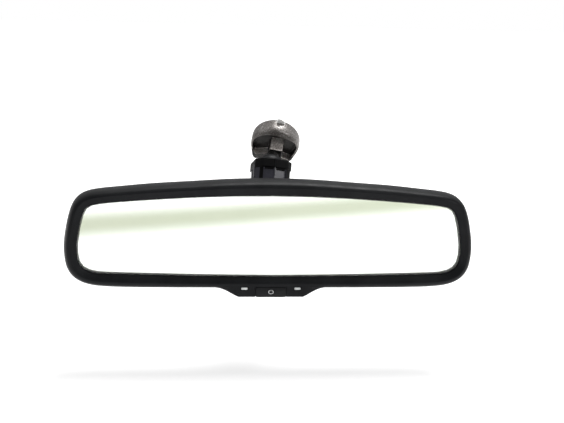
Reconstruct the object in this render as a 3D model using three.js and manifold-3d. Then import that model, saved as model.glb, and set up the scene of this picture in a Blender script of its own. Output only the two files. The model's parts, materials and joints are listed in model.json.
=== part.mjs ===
// Interior rearview mirror with an auto-dimming cell, a double-ball arm and a
// slide-on windshield mount. Millimetres, +Z up. The mirror head is level, its
// glass faces -Y, and +X is its long side. The origin is the middle of the seat
// in the windshield mount that rests on the glass-bonded button.
import * as THREE from 'three';
import { mergeVertices } from 'three/addons/utils/BufferGeometryUtils.js';
import Module from 'manifold-3d';

const wasm = await Module();
wasm.setup();

// ---------------------------------------------------------------- dimensions
const V = (x, y, z) => new THREE.Vector3(x, y, z);

// head outlines, right half from top centre to bottom centre, [x, z]
const OUTER = [[0, 34.5], [25.12, 33.9], [50.25, 32.3], [75.37, 30.6], [95.47, 28.6], [106.53, 27.4], [113.56, 26],
  [118.79, 23.6], [122.61, 19.6], [125.22, 14], [127.53, 4.5], [129.04, -7], [128.64, -15.8], [127.03, -22.5],
  [123.82, -27.4], [119.19, -30.8], [112.56, -33.1], [103.51, -34.2], [85.42, -34.8], [55.27, -35], [26.13, -35],
  [0, -35]];
const SIGHT = [[0, 24.8], [24.13, 24.5], [47.26, 23.6], [70.39, 22.2], [90.5, 20.7], [100.55, 19.8], [107.09, 19],
  [111.81, 17.9], [115.03, 15.8], [117.04, 11.9], [119.05, 4], [120.56, -6.5], [120.46, -12.8], [119.35, -17.9],
  [117.04, -21.2], [113.62, -23.2], [108.59, -24.5], [101.56, -25], [84.46, -25.5], [55.3, -26.15], [26.14, -26.55],
  [0, -26.75]];
const PARTING_Y = 10;        // where bezel and rear housing meet
const GLASS_T = 2.0;         // each pane
const GLASS_OVERLAP = 0.26;  // share of the frame width that the panes reach under the lip
const CHIN_HALF = 21, CHIN_FLARE = 34.6, CHIN_Z = -39.75;
const BUTTON_HALF = 9.5, BUTTON_TOP = -33.3, BUTTON_BOTTOM = -39.6, BUTTON_TRAVEL = 0.5;
const WINDOW_X = 16.7, WINDOW_Z = -34.1, WINDOW_W = 4.4, WINDOW_H = 1.9;

// ball joints
const BALL_R = 6.5, NECK_R = 2.8;
const LINER = [6.8, 7.6], SEAT = [7.95, 8.75], CUP = [9.1, 10.4];
const HEAD_BALL = V(0, 39, -2);        // centre of the ball behind the head
const MOUNT_BALL = V(3.4, 54, 35.3);   // centre of the ball under the mount
const FACE_C = V(6.8, 68, 46.4);       // middle of the mount's inner face

// windshield mount
const BASE_R = 16.4, BASE_T = 12, SEAT_C = 8.5;      // puck radius, thickness, button seat height
const SLOT_HALF = 9.6, SLOT_LIP = 8.2, SLOT_TOP = 7.5; // channel half width, half width at its lips, closed end
const POCKET_C = 5.6;                                // depth of the pocket round the boss
const LIP_LEFT = [[-1, -5.0], [3.2, -5.6], [13.2, -9.6], [20, -12], [20, -25], [-1, -25]];
const LIP_RIGHT = [[-20, -25], [-20, -16.5], [-10.6, -11.4], [-4.4, -7.7], [1, -6.4], [1, -25]];
const NECK_CUT = [[-3.4, -2], [3.2, -2], [3.4, -6.4], [7.2, -9.0], [11.5, -13.4], [11.5, -25], [-14, -25], [-10.0, -13.6], [-5.0, -9.5], [-3.4, -8.0]];
const LEAN = 11 * Math.PI / 180;                     // sideways lean of the mount
const TWIST = 8 * Math.PI / 180;                     // turn of the arm about its own length

// ---------------------------------------------------------------- materials
const mat = (color, roughness, metalness = 0, extra = {}) =>
  new THREE.MeshStandardMaterial({ color, roughness, metalness, ...extra });
const blackGrain = mat(0x1b1c1e, 0.55), blackArm = mat(0x26272b, 0.45), castGrey = mat(0x6f6a66, 0.45, 0.6);
const steel = mat(0xb9b9ba, 0.3, 0.9), spring = mat(0x8f9396, 0.35, 0.9), nylon = mat(0xe6e2d6, 0.5);
const acetal = mat(0x3a3c40, 0.4), mirror = mat(0xf2f4f0, 0.03, 1.0), clear = mat(0xdfe8e4, 0.05, 0, { transparent: true, opacity: 0.4 });
const sealMat = mat(0x77756c, 0.6), foamMat = mat(0x3b3d40, 0.95), carrierMat = mat(0x2a2b2d, 0.7);
const pcbMat = mat(0x1f5c3a, 0.5), chipMat = mat(0x17181a, 0.5), copper = mat(0xc07a45, 0.35, 0.8), lens = mat(0xe9ece8, 0.25);
const zincTab = mat(0xc9c9c8, 0.35, 0.7);

// ---------------------------------------------------------------- solids
function solid(geometry) {
  const g = geometry.index ? geometry.clone() : geometry.clone();
  g.deleteAttribute('normal');
  if (g.getAttribute('uv')) g.deleteAttribute('uv');
  const m = mergeVertices(g, 1e-4);
  const pos = m.getAttribute('position').array, idx = m.index.array;
  const keep = [];
  for (let i = 0; i < idx.length; i += 3) {
    const [a, b, c] = [idx[i], idx[i + 1], idx[i + 2]];
    if (a !== b && b !== c && a !== c) keep.push(a, b, c);
  }
  let vol = 0;
  for (let i = 0; i < keep.length; i += 3) {
    const p = [0, 1, 2].map((k) => V(pos[3 * keep[i + k]], pos[3 * keep[i + k] + 1], pos[3 * keep[i + k] + 2]));
    vol += p[0].dot(p[1].cross(p[2]));
  }
  if (vol < 0) for (let i = 0; i < keep.length; i += 3) { const t = keep[i]; keep[i] = keep[i + 1]; keep[i + 1] = t; }
  return new wasm.Manifold(new wasm.Mesh({ numProp: 3, vertProperties: new Float32Array(pos), triVerts: new Uint32Array(keep) }));
}

function geometryOf(manifold) {
  const m = manifold.getMesh();
  const g = new THREE.BufferGeometry();
  g.setAttribute('position', new THREE.BufferAttribute(new Float32Array(m.vertProperties), 3));
  g.setIndex(new THREE.BufferAttribute(new Uint32Array(m.triVerts), 1));
  g.computeVertexNormals();
  return g;
}

const box = (x0, x1, y0, y1, z0, z1) => {
  const g = new THREE.BoxGeometry(x1 - x0, y1 - y0, z1 - z0);
  g.translate((x0 + x1) / 2, (y0 + y1) / 2, (z0 + z1) / 2);
  return solid(g);
};
// profile [[r, h], ...] turned about Z
const turned = (profile, segments = 24) => {
  const g = new THREE.LatheGeometry(profile.map(([r, h]) => new THREE.Vector2(r, h)), segments);
  g.rotateX(Math.PI / 2);
  return solid(g);
};
const rod = (r, z0, z1, segments = 20) => turned([[0, z0], [r, z0], [r, z1], [0, z1]], segments);
// turn +Z towards a direction and move to a point
const aim = (manifold, dir, at = V(0, 0, 0)) => {
  const q = new THREE.Quaternion().setFromUnitVectors(V(0, 0, 1), dir.clone().normalize());
  const m = new THREE.Matrix4().compose(at, q, V(1, 1, 1));
  return manifold.transform(m.elements);
};
const Y_FWD = V(0, -1, 0), Y_BACK = V(0, 1, 0);
// arc of a circle as a turned profile, polar angle measured from +Z, degrees
const arc = (r, a0, a1, n) => Array.from({ length: n + 1 }, (_, i) => {
  const a = (a0 + (a1 - a0) * i / n) * Math.PI / 180;
  return [r * Math.sin(a), r * Math.cos(a)];
});
const shell = (r0, r1, a0, a1, n = 7, segments = 20) => {
  const p = [...arc(r1, a0, a1, n), ...arc(r0, a1, a0, n)];
  p.push(p[0]);
  return turned(p, segments);
};
const ball = (r, at, segments = 20) => { const g = new THREE.SphereGeometry(r, segments, 12); g.translate(at.x, at.y, at.z); return solid(g); };

// closed outline through both halves, n points
function outline(half, sub = 1) {
  const pts = [...half.map(([x, z]) => V(x, 0, z)), ...half.slice(1, -1).reverse().map(([x, z]) => V(-x, 0, z))];
  const curve = new THREE.CatmullRomCurve3(pts, true, 'centripetal');
  const n = pts.length, out = [];
  for (let i = 0; i < n * sub; i++) out.push(curve.getPoint(i / (n * sub)));
  return out;
}
const ringO = outline(OUTER), ringS = outline(SIGHT);
// between the sight line (t = 0) and the outer edge (t = 1), at depth y
const between = (t, y) => ringS.map((s, i) => V(s.x + (ringO[i].x - s.x) * t, y, s.z + (ringO[i].z - s.z) * t));
const scaledO = (kx, kz, y, cz = 0) => ringO.map((o) => V(o.x * kx, y, cz + (o.z - cz) * kz));
// skin through rings; ends joined to each other, or capped with a fan
function loft(rings, closed) {
  const n = rings[0].length, pos = [], idx = [];
  rings.forEach((r) => r.forEach((p) => pos.push(p.x, p.y, p.z)));
  const m = rings.length;
  for (let k = 0; k < (closed ? m : m - 1); k++) for (let i = 0; i < n; i++) {
    const a = k * n + i, b = k * n + (i + 1) % n, c = ((k + 1) % m) * n + i, d = ((k + 1) % m) * n + (i + 1) % n;
    idx.push(a, b, c, b, d, c);
  }
  if (!closed) for (const [k, flip] of [[0, false], [m - 1, true]]) {
    const c = rings[k].reduce((s, p) => s.add(p), V(0, 0, 0)).divideScalar(n), ci = pos.length / 3;
    pos.push(c.x, c.y, c.z);
    for (let i = 0; i < n; i++) {
      const a = k * n + i, b = k * n + (i + 1) % n;
      flip ? idx.push(a, b, ci) : idx.push(b, a, ci);
    }
  }
  const g = new THREE.BufferGeometry();
  g.setAttribute('position', new THREE.BufferAttribute(new Float32Array(pos), 3));
  g.setIndex(idx);
  g.computeVertexNormals();
  return solid(g);
}
// flat piece with an outline in XZ, between two depths
const slab = (points, y0, y1) => {
  const s = new THREE.Shape(points.map(([x, z]) => new THREE.Vector2(x, z)));
  const g = new THREE.ExtrudeGeometry(s, { depth: y1 - y0, bevelEnabled: false, steps: 1 });
  g.rotateX(Math.PI / 2);       // shape y -> z, extrusion z -> -y
  g.translate(0, y1, 0);
  return solid(g);
};
// flat piece with an outline in XY, between two heights
const plan = (points, z0, z1) => {
  const g = new THREE.ExtrudeGeometry(new THREE.Shape(points.map(([x, y]) => new THREE.Vector2(x, y))), { depth: z1 - z0, bevelEnabled: false, steps: 1 });
  g.translate(0, 0, z0);
  return solid(g);
};
// rounded rectangle outline
const pill = (cx, cz, w, h, r, n = 4) => {
  const out = [];
  for (const [sx, sz, a0] of [[1, 1, 0], [-1, 1, 90], [-1, -1, 180], [1, -1, 270]])
    for (let i = 0; i <= n; i++) {
      const a = (a0 + 90 * i / n) * Math.PI / 180;
      out.push([cx + sx * (w / 2 - r) + r * Math.cos(a), cz + sz * (h / 2 - r) + r * Math.sin(a)]);
    }
  return out;
};

// ---------------------------------------------------------------- frames
const n = FACE_C.clone().sub(MOUNT_BALL).normalize();            // mount axis, towards the windshield
const REACH = FACE_C.distanceTo(MOUNT_BALL);                     // ball centre to inner face
const upIn = V(0, 0, 1).addScaledVector(n, -n.z).normalize().applyAxisAngle(n, LEAN);
const bm = upIn.clone();
const am = new THREE.Vector3().crossVectors(bm, n).normalize();  // left as seen from the cabin
const mountM = new THREE.Matrix4().makeBasis(am, bm, n);
const ORIGIN = FACE_C.clone().addScaledVector(n, SEAT_C);

const k = MOUNT_BALL.clone().sub(HEAD_BALL).normalize();
const ARM_L = MOUNT_BALL.distanceTo(HEAD_BALL);
const iArm = V(1, 0, 0).addScaledVector(k, -k.x).normalize().applyAxisAngle(k, TWIST);
const jArm = new THREE.Vector3().crossVectors(k, iArm);
const armM = new THREE.Matrix4().makeBasis(iArm, jArm, k);
const toArm = (v) => v.clone().applyMatrix4(armM.clone().invert());
const nArm = toArm(n), headDirArm = toArm(Y_FWD);

const object = new THREE.Group();
const mountG = new THREE.Group(), armG = new THREE.Group(), headG = new THREE.Group();
mountG.position.copy(FACE_C.clone().sub(ORIGIN)); mountG.quaternion.setFromRotationMatrix(mountM);
armG.position.copy(HEAD_BALL.clone().sub(ORIGIN)); armG.quaternion.setFromRotationMatrix(armM);
headG.position.copy(ORIGIN.clone().negate());
object.add(mountG, armG, headG);
function add(group, name, manifold, material) {
  const mesh = new THREE.Mesh(geometryOf(manifold), material);
  mesh.name = name;
  group.add(mesh);
}

// ================================================================ mount
{
  let base = turned([[0, 0], [15.2, 0], [16.1, 0.9], [BASE_R, 2.4], [BASE_R, 8.6], [15.9, 10.6], [14.6, BASE_T], [0, BASE_T]], 40);
  // kidney-shaped pocket round the boss, above two sloping lips
  let pocket = rod(14.9, -1, POCKET_C, 40).subtract(plan(LIP_LEFT, -2, 8)).subtract(plan(LIP_RIGHT, -2, 8));
  base = base.subtract(pocket).subtract(plan(NECK_CUT, -1, 4.2));
  // boss that carries the ball stud, proud of the face
  base = base.add(box(-4.8, 3.6, -3.4, 4.2, -5.7, 7)).add(rod(4.3, -5.7, 7, 28));
  // dovetail channel for the glass-bonded button, open at the bottom
  const dove = new THREE.ExtrudeGeometry(new THREE.Shape([[-SLOT_HALF, SEAT_C], [SLOT_HALF, SEAT_C], [SLOT_HALF, SEAT_C + 2.15], [SLOT_LIP, SEAT_C + 3.0], [SLOT_LIP, BASE_T + 1],
    [-SLOT_LIP, BASE_T + 1], [-SLOT_LIP, SEAT_C + 3.0], [-SLOT_HALF, SEAT_C + 2.15]].map(([x, y]) => new THREE.Vector2(x, y))), { depth: SLOT_TOP + 20, bevelEnabled: false });
  dove.rotateX(Math.PI / 2);                                     // section x, z; extrusion along -Y
  dove.translate(0, SLOT_TOP, 0);
  base = base.subtract(solid(dove));
  // recess for the clip above the channel
  base = base.subtract(box(-6.0, 3.6, 4.4, 13.0, 7.6, BASE_T + 1)).subtract(box(-3.1, 2.4, 12.8, 20, 7.6, BASE_T + 1));
  // bore for the ball stud and holes for the clip screws
  base = base.subtract(rod(3.12, -7, 6.6, 20));
  for (const x of [1.6, -4.0]) base = base.subtract(rod(0.85, 4.4, 9, 10).translate([x, 9.4, 0]));
  add(mountG, 'mount_base', base, castGrey);

  // spring clip: leaf in the recess, tongue past the rim, detent towards the channel
  let clip = box(-5.7, 3.3, 4.7, 12.7, 7.9, 8.6);
  clip = clip.add(box(-2.9, 2.2, 12.4, 19.3, 7.9, 8.6));
  clip = clip.add(box(-2.4, 0, 5.2, 7.0, 8.5, 9.7));
  for (const x of [1.6, -4.0]) clip = clip.subtract(rod(1.05, 7, 9.5, 12).translate([x, 9.4, 0]));
  add(mountG, 'button_clip', clip, zincTab);
  for (const [x, name] of [[1.6, 'clip_screw_left'], [-4.0, 'clip_screw_right']]) {
    let s = turned([[0, 4.9], [0.72, 4.9], [0.72, 8.75], [1.75, 8.75], [1.75, 9.7], [0, 9.7]], 12);
    s = s.subtract(box(-1.2, 1.2, -0.2, 0.2, 9.3, 10));
    add(mountG, name, s.translate([x, 9.4, 0]), steel);
  }

  // ball stud: shank in the base, collar on the rib, neck and ball
  const z = (h) => h - REACH;                                   // heights measured from the ball centre
  const neckAng = Math.asin(NECK_R / BALL_R) * 180 / Math.PI;
  const profile = [[0, z(REACH + 6.3)], [2.95, z(REACH + 6.3)], [2.95, -5.9], [4.1, -5.9], [4.1, -6.6], [3.3, -7.7], [NECK_R, -9.0],
    ...arc(BALL_R, neckAng, 168, 9).map(([r, h]) => [r, h - REACH])];
  profile.push([0, profile[profile.length - 1][1]]);
  add(mountG, 'upper_ball_stud', turned(profile, 20), steel);
  add(mountG, 'upper_ball_liner', shell(LINER[0], LINER[1], 29, 154).translate([0, 0, -REACH]), nylon);
  add(mountG, 'upper_ball_seat', shell(SEAT[0], SEAT[1], 36, 153).translate([0, 0, -REACH]), acetal);
}

// ================================================================ arm
{
  const U = V(0, 0, ARM_L), O = V(0, 0, 0);
  const cone = (deg, h) => turned([[0, 0], [h * Math.tan(deg * Math.PI / 180), h], [0, h]], 32);
  // steel tube, crimped round both seats
  let tube = ball(CUP[1], U).add(ball(CUP[1], O)).add(rod(7.6, 0, ARM_L, 28));
  tube = tube.subtract(ball(CUP[0], U)).subtract(ball(CUP[0], O)).subtract(rod(6.0, 4, ARM_L - 4, 24));
  tube = tube.subtract(aim(cone(38, 16), nArm, U)).subtract(aim(cone(42, 16), headDirArm, O));
  add(armG, 'arm_tube', tube, steel);

  // crimped rim stands a little above the cover
  tube = tube.subtract(box(-20, 20, -20, 20, ARM_L + 4.0, ARM_L + 20));

  // spring and the two cups it pushes onto the seats
  const cupProfile = () => {
    const p = arc(9.05, 0, 38, 4);
    return [...p, [p[4][0], 10.8], [0, 10.8]];
  };
  const cup = turned(cupProfile(), 20);
  add(armG, 'lower_spring_cup', cup, steel);
  add(armG, 'upper_spring_cup', cup.mirror([0, 0, 1]).translate([0, 0, ARM_L]), steel);
  class Helix extends THREE.Curve {
    getPoint(t) {
      const turns = 4.5, a = t * turns * 2 * Math.PI;
      return V(4.4 * Math.cos(a), 4.4 * Math.sin(a), 12.0 + (ARM_L - 24.0) * t);
    }
  }
  const wire = new THREE.Shape(Array.from({ length: 6 }, (_, i) => new THREE.Vector2(0.8 * Math.cos(i * Math.PI / 3), 0.8 * Math.sin(i * Math.PI / 3))));
  add(armG, 'arm_spring', solid(new THREE.ExtrudeGeometry(wire, { steps: 48, bevelEnabled: false, extrudePath: new Helix() })), spring);

  // two-part cover round the tube, split along its middle
  const SECTION = [[0, -12.5], [7.4, -12.0], [9.0, -10.9], [11.8, -7.4], [11.8, 7.8], [8.3, 11.6], [0, 12.0],
    [-8.3, 11.6], [-11.8, 7.8], [-11.8, -7.4], [-9.0, -10.9], [-7.4, -12.0]];
  const ring = (s, h) => SECTION.map(([x, y]) => V(x * s, y * s, h));
  const topBand = ARM_L + 2.6, bandLow = ARM_L - 2.8;
  let cover = loft([ring(0.62, -12.2), ring(0.84, -10.2), ring(1.0, -5.6), ring(1.0, bandLow - 0.9), ring(1.05, bandLow), ring(1.05, topBand - 0.9), ring(1.01, topBand)], false);
  cover = cover.subtract(ball(CUP[1] + 0.35, U)).subtract(ball(CUP[1] + 0.35, O)).subtract(rod(CUP[1] + 0.35, 0, ARM_L, 28));
  cover = cover.subtract(aim(cone(41, 26), nArm, U)).subtract(aim(cone(40, 26), headDirArm, O));
  // open at the top above the cup
  cover = cover.subtract(rod(CUP[1] + 0.35, ARM_L, ARM_L + 20, 28));
  // recessed front panels
  cover = cover.subtract(box(0.55, 7.0, -16, -11.75, 12, bandLow - 2.0));
  cover = cover.subtract(box(-6.9, -0.55, -16, -11.75, 12, bandLow - 1.7));
  // ribs for a lead on the left side
  cover = cover.add(box(-12.7, -11.5, -6.6, -5.4, 2, bandLow + 2)).add(box(-12.7, -11.5, -1.6, -0.4, 2, bandLow + 2));
  const left = cover.intersect(box(-30, -0.12, -30, 30, -30, 80)), right = cover.intersect(box(0.12, 30, -30, 30, -30, 80));
  const parts = [[left, 'arm_cover_left'], [right, 'arm_cover_right']];
  for (const [m, name] of parts) {
    const bodies = m.decompose().sort((p, q) => q.volume() - p.volume());
    add(armG, name, bodies[0], blackArm);
  }
}

// ================================================================ head: ball stud and its plate
{
  const fwd = (m) => aim(m, Y_FWD, HEAD_BALL);                  // lathe axis +Z -> towards the head
  const neckAng = Math.asin(NECK_R / BALL_R) * 180 / Math.PI;
  const profile = [[0, 22.3], [9.0, 22.3], [9.0, 20.3], [4.2, 20.3], [4.2, 17.6], [NECK_R, 15.4], ...arc(BALL_R, neckAng, 168, 9)];
  profile.push([0, profile[profile.length - 1][1]]);
  add(headG, 'lower_ball_stud', fwd(turned(profile, 20)), steel);
  add(headG, 'lower_ball_liner', fwd(shell(LINER[0], LINER[1], 29, 154)), nylon);
  add(headG, 'lower_ball_seat', fwd(shell(SEAT[0], SEAT[1], 42, 152)), acetal);
}

// ================================================================ head: housing, bezel, cell
const chin = (grow, y0, y1, top = -28) => slab([[-CHIN_FLARE - grow, top], [-CHIN_FLARE - grow, -33.7], [-30.6 - grow, -35.4], [-26.2 - grow, -37.3],
  [-CHIN_HALF - 0.6 - grow, CHIN_Z + 0.7 - grow], [-CHIN_HALF + 0.6, CHIN_Z - grow], [CHIN_HALF - 0.6, CHIN_Z - grow], [CHIN_HALF + 0.6 + grow, CHIN_Z + 0.7 - grow],
  [26.2 + grow, -37.3], [30.6 + grow, -35.4], [CHIN_FLARE + grow, -33.7], [CHIN_FLARE + grow, top]], y0, y1);
const housingRings = (inset, back) => [
  scaledO(1 - (0.8 + inset) / 128, 1 - (0.6 + inset) / 34, back ? PARTING_Y - 0.5 : PARTING_Y + 0.3),
  scaledO(0.985 - inset / 128, 0.965 - inset / 34, 14 - back * 0.4),
  scaledO(0.965 - inset / 128, 0.885 - inset / 34, 18.5 - back * 0.8),
  scaledO(0.93 - inset / 128, 0.76 - inset / 34, 22.2 - back * 1.3),
  scaledO(0.87 - inset / 128, 0.60 - inset / 34, 24.8 - back * 1.7),
  scaledO(0.77 - inset / 128, 0.40 - inset / 34, 26.5 - back * 1.9),
  scaledO(0.62 - inset / 128, 0.18 - inset / 68, 27.4 - back * 2.0)];
const RECESS_R = 21.5, RECESS_Y = 21;
const CONN = { x: -34, z: -16 }, LENS = { x: 36, z: -14 };
{
  let outer = loft(housingRings(0, 0), false).add(chin(-0.4, PARTING_Y + 0.3, PARTING_Y + 3.4));
  const at = HEAD_BALL.z;
  const cyl = (r, y0, y1, x = 0, z = at, s = 40) => aim(rod(r, y0, y1, s), Y_BACK, V(x, 0, z));
  let inner = loft(housingRings(2.0, 1), false).subtract(cyl(RECESS_R + 2, RECESS_Y - 2, 40));
  let h = outer.subtract(cyl(RECESS_R, RECESS_Y, 40)).subtract(inner);
  // four bosses that hold the stud plate
  for (const [x, z] of [[-17, 10], [17, 10], [-17, -14], [17, -14]]) h = h.add(cyl(3.0, 16.9, RECESS_Y - 1, x, at + z + 2, 16));
  for (const [x, z] of [[-17, 10], [17, 10], [-17, -14], [17, -14]]) h = h.subtract(cyl(1.3, 12, RECESS_Y - 1.4, x, at + z + 2, 12));
  h = h.subtract(cyl(4.6, 10, 30));                            // neck hole
  // connector opening and sensor window
  h = h.subtract(box(CONN.x - 8.6, CONN.x + 8.6, 12, 40, CONN.z - 4.6, CONN.z + 4.6));
  h = h.subtract(cyl(3.6, 12, 40, LENS.x, LENS.z, 24));
  // cooling slots beside the recess
  for (const x of [-62, -57, -52, -47, 47, 52, 57, 62]) h = h.subtract(box(x - 1.1, x + 1.1, 15, 40, 2, 12));
  add(headG, 'rear_housing', h, blackGrain);

  // stud plate with four screws
  const PLATE = [14.6, 16.4];
  let plate = slab(pill(0, at, 44, 34, 4), PLATE[0], PLATE[1]);
  const holes = [[-17, 10], [17, 10], [-17, -14], [17, -14]].map(([x, z]) => [x, at + z + 2]);
  for (const [x, z] of holes) plate = plate.subtract(cyl(1.5, 10, 20, x, z, 14));
  add(headG, 'stud_plate', plate, steel);
  holes.forEach(([x, z], i) => {
    let s = turned([[0, 12.7], [2.5, 12.7], [2.5, 14.3], [1.05, 14.3], [1.05, 18.9], [0, 18.9]], 12);
    s = aim(s, Y_BACK, V(x, 0, z)).subtract(box(x - 1.6, x + 1.6, 12, 13.2, z - 0.25, z + 0.25)).subtract(box(x - 0.25, x + 0.25, 12, 13.2, z - 1.6, z + 1.6));
    add(headG, `stud_plate_screw_${i + 1}`, s, steel);
  });

  // bezel: lip over the panes, ridge, outer wall to the parting line, open at the back
  let bezel = loft([between(0.0, -0.9), between(0.05, -1.5), between(0.24, -2.4), between(0.52, -3.0), between(0.72, -2.0), between(0.86, 0.3), between(0.955, 4.2), between(1.0, PARTING_Y),
    between(0.78, PARTING_Y), between(0.76, 1.6), between(0.34, 1.6), between(0.34, -0.25), between(0.0, -0.25)], true);
  bezel = bezel.subtract(loft([between(0.34, -0.25), between(0.34, 12)], false).subtract(loft([between(-0.3, -5), between(-0.3, 13)], false)));
  let chinSolid = chin(0, -1.9, PARTING_Y, -30.2).subtract(chin(-2.0, 0.6, 20, -20).intersect(box(-24.5, 24.5, 0, 20, -38.0, -10)));
  chinSolid = chinSolid.subtract(loft([between(0.34, -5), between(0.34, 13)], false));
  bezel = bezel.add(chinSolid);
  bezel = bezel.subtract(box(-23.0, 23.0, 0.6, 20, -38.0, -28));                                   // room behind the controls
  bezel = bezel.subtract(box(-BUTTON_HALF - 0.3, BUTTON_HALF + 0.3, -5, 1.6, -45, BUTTON_TOP + 0.3));
  for (const s of [-1, 1]) bezel = bezel.subtract(slab(pill(s * WINDOW_X, WINDOW_Z, WINDOW_W, WINDOW_H, 0.9, 3), -6, 3));
  add(headG, 'bezel', bezel, blackGrain);

  // dimming cell: two panes, perimeter seal, contact clips
  const pane = (t, y0, y1) => loft([between(t, y0), between(t, y1)], false);
  add(headG, 'front_glass', pane(GLASS_OVERLAP, 0, GLASS_T), clear);
  add(headG, 'cell_seal', loft([between(0.22, 2.1), between(0.22, 2.5), between(-0.08, 2.5), between(-0.08, 2.1)], true), sealMat);
  add(headG, 'rear_glass', pane(0.23, 2.6, 2.6 + GLASS_T), mirror);
  add(headG, 'contact_clip_upper', box(-78, 78, 4.72, 5.05, 19.6, 21.2), copper);
  add(headG, 'contact_clip_lower', box(-78, 78, 4.72, 5.05, -22.6, -21.0), copper);
  add(headG, 'foam_pad', pane(-0.75, 5.2, 6.7), foamMat);
  let carrier = pane(0.3, 6.9, 8.5);
  carrier = carrier.subtract(box(-40, 40, 5, 12, 6, 14)).subtract(box(56, 100, 5, 12, -8, 8)).subtract(box(-100, -56, 5, 12, -8, 8));
  add(headG, 'carrier_plate', carrier, carrierMat);

  // electronics
  let pcb = slab([[-50, -9], [50, -9], [50, -24], [22, -26.5], [22, -37.6], [-22, -37.6], [-22, -26.5], [-50, -24]], 8.8, 9.8);
  add(headG, 'circuit_board', pcb, pcbMat);
  add(headG, 'control_chip', box(5, 13, 9.95, 11.5, -20, -12), chipMat);
  add(headG, 'capacitor', aim(rod(2.5, 9.95, 15.5, 16), Y_BACK, V(27, 0, -18)), chipMat);
  add(headG, 'indicator_led', box(-WINDOW_X - 1.5, -WINDOW_X + 1.5, 7.5, 8.65, WINDOW_Z - 0.8, WINDOW_Z + 0.8), lens);
  add(headG, 'glare_sensor', box(WINDOW_X - 1.6, WINDOW_X + 1.6, 7.5, 8.65, WINDOW_Z - 0.8, WINDOW_Z + 0.8), chipMat);
  for (const [s, name] of [[-1, 'indicator_window'], [1, 'glare_sensor_window']]) {
    let w = slab(pill(s * WINDOW_X, WINDOW_Z, WINDOW_W - 0.3, WINDOW_H - 0.3, 0.75, 3), -2.15, 7.2);
    w = w.add(box(s * WINDOW_X - 2.8, s * WINDOW_X + 2.8, 1.0, 2.0, WINDOW_Z - 1.5, WINDOW_Z + 1.5));
    add(headG, name, w, lens);
  }
  add(headG, 'ambient_sensor', box(LENS.x - 2, LENS.x + 2, 9.95, 11.6, LENS.z - 2, LENS.z + 2), chipMat);
  add(headG, 'ambient_lens', aim(turned([[0, 12.4], [3.3, 12.4], [3.3, 25.6], [2.4, 26.3], [0, 26.6]], 20), Y_BACK, V(LENS.x, 0, LENS.z)), lens);
  let conn = box(CONN.x - 8.2, CONN.x + 8.2, 9.95, 24.6, CONN.z - 4.2, CONN.z + 4.2).subtract(box(CONN.x - 7.2, CONN.x + 7.2, 12.0, 30, CONN.z - 3.2, CONN.z + 3.2));
  for (let i = 0; i < 4; i++) conn = conn.subtract(box(CONN.x - 4.5 + 3 * i - 0.55, CONN.x - 4.5 + 3 * i + 0.55, 9, 13, CONN.z - 0.55, CONN.z + 0.55));
  add(headG, 'connector_shell', conn, chipMat);
  for (let i = 0; i < 4; i++) add(headG, `connector_pin_${i + 1}`, box(CONN.x - 4.5 + 3 * i - 0.35, CONN.x - 4.5 + 3 * i + 0.35, 9.95, 17.6, CONN.z - 0.35, CONN.z + 0.35), copper);

  // push switch and button
  const BZ = -36.0;
  add(headG, 'switch_body', box(-2.6, 2.6, 5.4, 8.65, BZ - 1.7, BZ + 2.2).subtract(aim(rod(1.55, 4, 7.0, 16), Y_BACK, V(0, 0, BZ))), chipMat);
  add(headG, 'switch_plunger', aim(rod(1.25, 4.2, 6.2, 14), Y_BACK, V(0, 0, BZ)), acetal);
  let button = slab([[-BUTTON_HALF, BUTTON_BOTTOM + 0.5], [-BUTTON_HALF + 0.5, BUTTON_BOTTOM], [BUTTON_HALF - 0.5, BUTTON_BOTTOM], [BUTTON_HALF, BUTTON_BOTTOM + 0.5],
    [BUTTON_HALF, BUTTON_TOP - 0.4], [BUTTON_HALF - 0.4, BUTTON_TOP], [-BUTTON_HALF + 0.4, BUTTON_TOP], [-BUTTON_HALF, BUTTON_TOP - 0.4]], -2.1, 1.0);
  button = button.add(box(-11.2, 11.2, 0.95, 1.9, -37.5, BUTTON_TOP - 0.2));
  button = button.add(aim(rod(1.6, 1.5, 4.0, 14), Y_BACK, V(0, 0, BZ)));
  add(headG, 'power_button', button, blackGrain);
}

export default object;
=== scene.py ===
import bpy, bmesh, math, json
import numpy as np
from mathutils import Vector, Matrix


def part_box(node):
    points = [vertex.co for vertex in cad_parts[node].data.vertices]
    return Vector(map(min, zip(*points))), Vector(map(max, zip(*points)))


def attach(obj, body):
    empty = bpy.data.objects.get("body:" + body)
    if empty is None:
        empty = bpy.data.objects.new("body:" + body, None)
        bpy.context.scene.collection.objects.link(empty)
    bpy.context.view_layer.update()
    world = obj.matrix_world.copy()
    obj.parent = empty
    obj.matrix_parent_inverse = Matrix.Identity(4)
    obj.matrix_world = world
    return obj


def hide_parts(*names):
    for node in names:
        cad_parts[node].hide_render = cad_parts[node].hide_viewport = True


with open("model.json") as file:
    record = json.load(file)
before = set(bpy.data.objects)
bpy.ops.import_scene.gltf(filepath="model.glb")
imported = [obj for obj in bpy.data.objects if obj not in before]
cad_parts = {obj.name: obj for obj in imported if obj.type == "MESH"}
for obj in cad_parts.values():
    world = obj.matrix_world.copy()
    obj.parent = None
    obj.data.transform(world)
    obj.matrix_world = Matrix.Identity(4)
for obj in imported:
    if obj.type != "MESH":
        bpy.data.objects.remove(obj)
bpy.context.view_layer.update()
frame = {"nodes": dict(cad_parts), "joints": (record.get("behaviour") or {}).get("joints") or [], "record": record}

# ------------------------------------------------------------------ shared frame
# All shapes below are written in millimetres, in the head's own axes (glass centre at
# 0, 0, 0), or in the mount's or the arm's axes, and baked into the row frame in metres.
J = {j["name"]: j for j in frame["joints"]}
HEAD_BALL = np.array([0.0, 39.0, -2.0])
ROW_HEAD_BALL = np.array(J["lower_ball_tilt"]["pos_m"]) * 1000
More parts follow.
